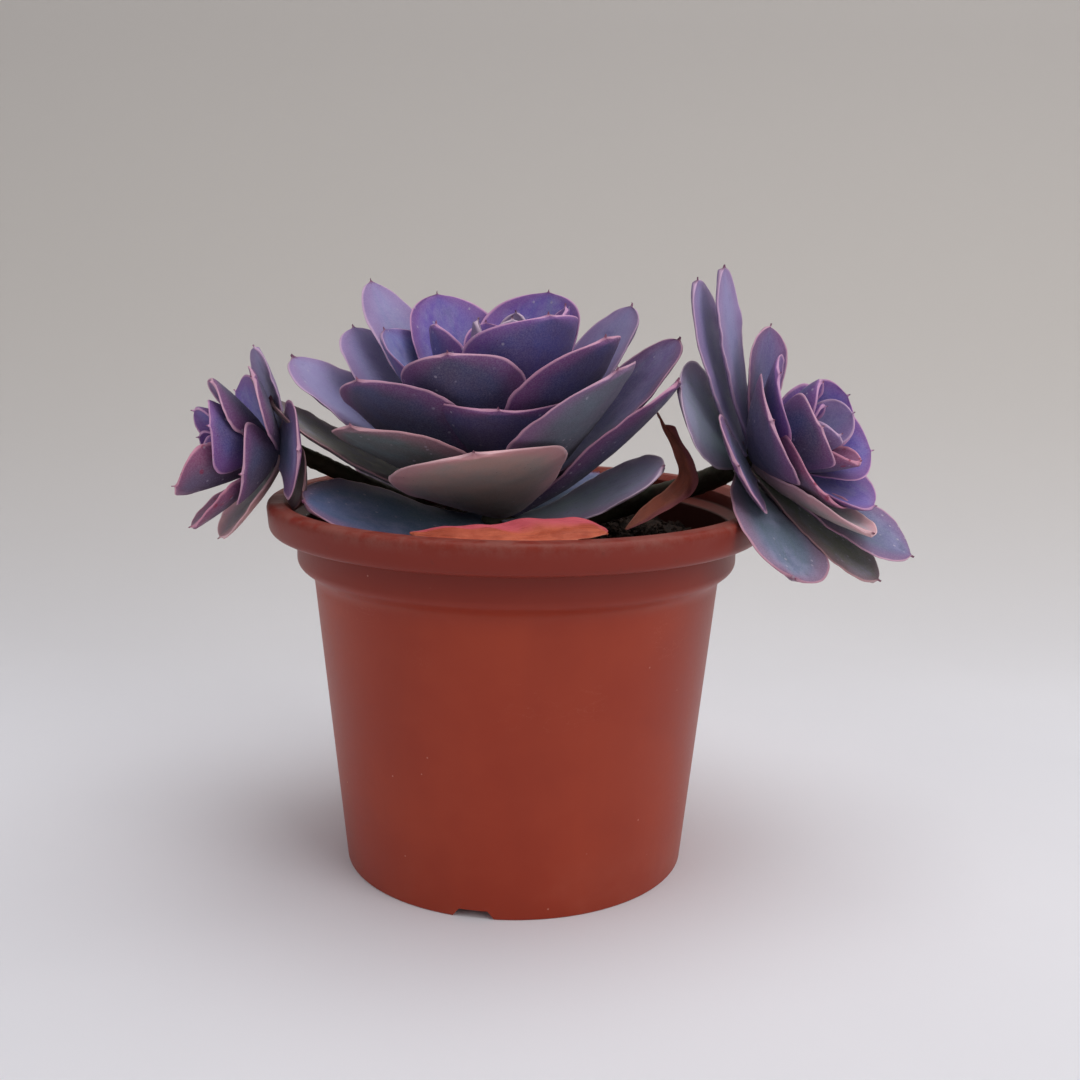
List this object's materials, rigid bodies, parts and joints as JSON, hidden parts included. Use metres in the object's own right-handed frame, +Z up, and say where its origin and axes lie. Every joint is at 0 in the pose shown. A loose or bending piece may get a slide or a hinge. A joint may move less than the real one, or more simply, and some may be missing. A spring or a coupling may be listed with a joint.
{
  "type": "potted succulent",
  "caption": "Rosette succulent with purple fleshy leaves, one large rosette and two side rosettes on short stems, in a round plastic nursery pot.",
  "frame": {"origin": "on the surface the pot stands on, under the middle of the plant's whole spread; the pot's axis is 7.3 mm from it towards -X", "axes": "+Z up, parallel to the pot's axis; the plant's best side looks along -Y; the side rosettes lean out to -X and +X"},
  "size_m": [0.2029, 0.14, 0.1711],
  "materials": {
    "pot": "satin moulded plastic, terracotta red, faintly scuffed, dusty on the rim",
    "potting_mix": "nearly black, damp, crumbly peat and bark",
    "stem": "dull grey-brown with leaf scars",
    "main_leaf": "fleshy leaf, violet to slate teal with thin pink margins and a powdery bloom",
    "left_leaf": "fleshy leaf, violet and blue-grey with pink margins and a powdery bloom",
    "right_leaf": "fleshy leaf, violet above and olive below, with pink margins and a powdery bloom",
    "dried_leaf": "withered, papery, orange red to brown"
  },
  "bodies": {
    "root": {"pot": "pot", "potting_mix": "potting_mix", "main_stem": "stem", "left_stem": "stem", "right_stem": "stem", "main_leaf_01": "main_leaf", "main_leaf_02": "main_leaf", "main_leaf_03": "main_leaf", "main_leaf_04": "main_leaf", "main_leaf_05": "main_leaf", "main_leaf_06": "main_leaf", "main_leaf_07": "main_leaf", "main_leaf_08": "main_leaf", "main_leaf_09": "main_leaf", "main_leaf_10": "main_leaf", "main_leaf_11": "main_leaf", "main_leaf_12": "main_leaf", "main_leaf_13": "main_leaf", "main_leaf_14": "main_leaf", "main_leaf_15": "main_leaf", "main_leaf_16": "main_leaf", "main_leaf_17": "main_leaf", "main_leaf_18": "main_leaf", "main_leaf_19": "main_leaf", "main_leaf_20": "main_leaf", "main_leaf_21": "main_leaf", "main_leaf_22": "main_leaf", "main_leaf_23": "main_leaf", "main_leaf_24": "main_leaf", "main_leaf_25": "main_leaf", "main_leaf_26": "main_leaf", "main_leaf_27": "main_leaf", "left_leaf_01": "left_leaf", "left_leaf_02": "left_leaf", "left_leaf_03": "left_leaf", "left_leaf_04": "left_leaf", "left_leaf_05": "left_leaf", "left_leaf_06": "left_leaf", "left_leaf_07": "left_leaf", "left_leaf_08": "left_leaf", "left_leaf_09": "left_leaf", "left_leaf_10": "left_leaf", "left_leaf_11": "left_leaf", "right_leaf_01": "right_leaf", "right_leaf_02": "right_leaf", "right_leaf_03": "right_leaf", "right_leaf_04": "right_leaf", "right_leaf_05": "right_leaf", "right_leaf_06": "right_leaf", "right_leaf_07": "right_leaf", "right_leaf_08": "right_leaf", "right_leaf_09": "right_leaf", "right_leaf_10": "right_leaf", "right_leaf_11": "right_leaf", "right_leaf_12": "right_leaf", "right_leaf_13": "right_leaf", "right_leaf_14": "right_leaf", "right_leaf_15": "right_leaf", "dried_leaf_front": "dried_leaf", "dried_leaf_right": "dried_leaf"}
  },
  "joints": []
}
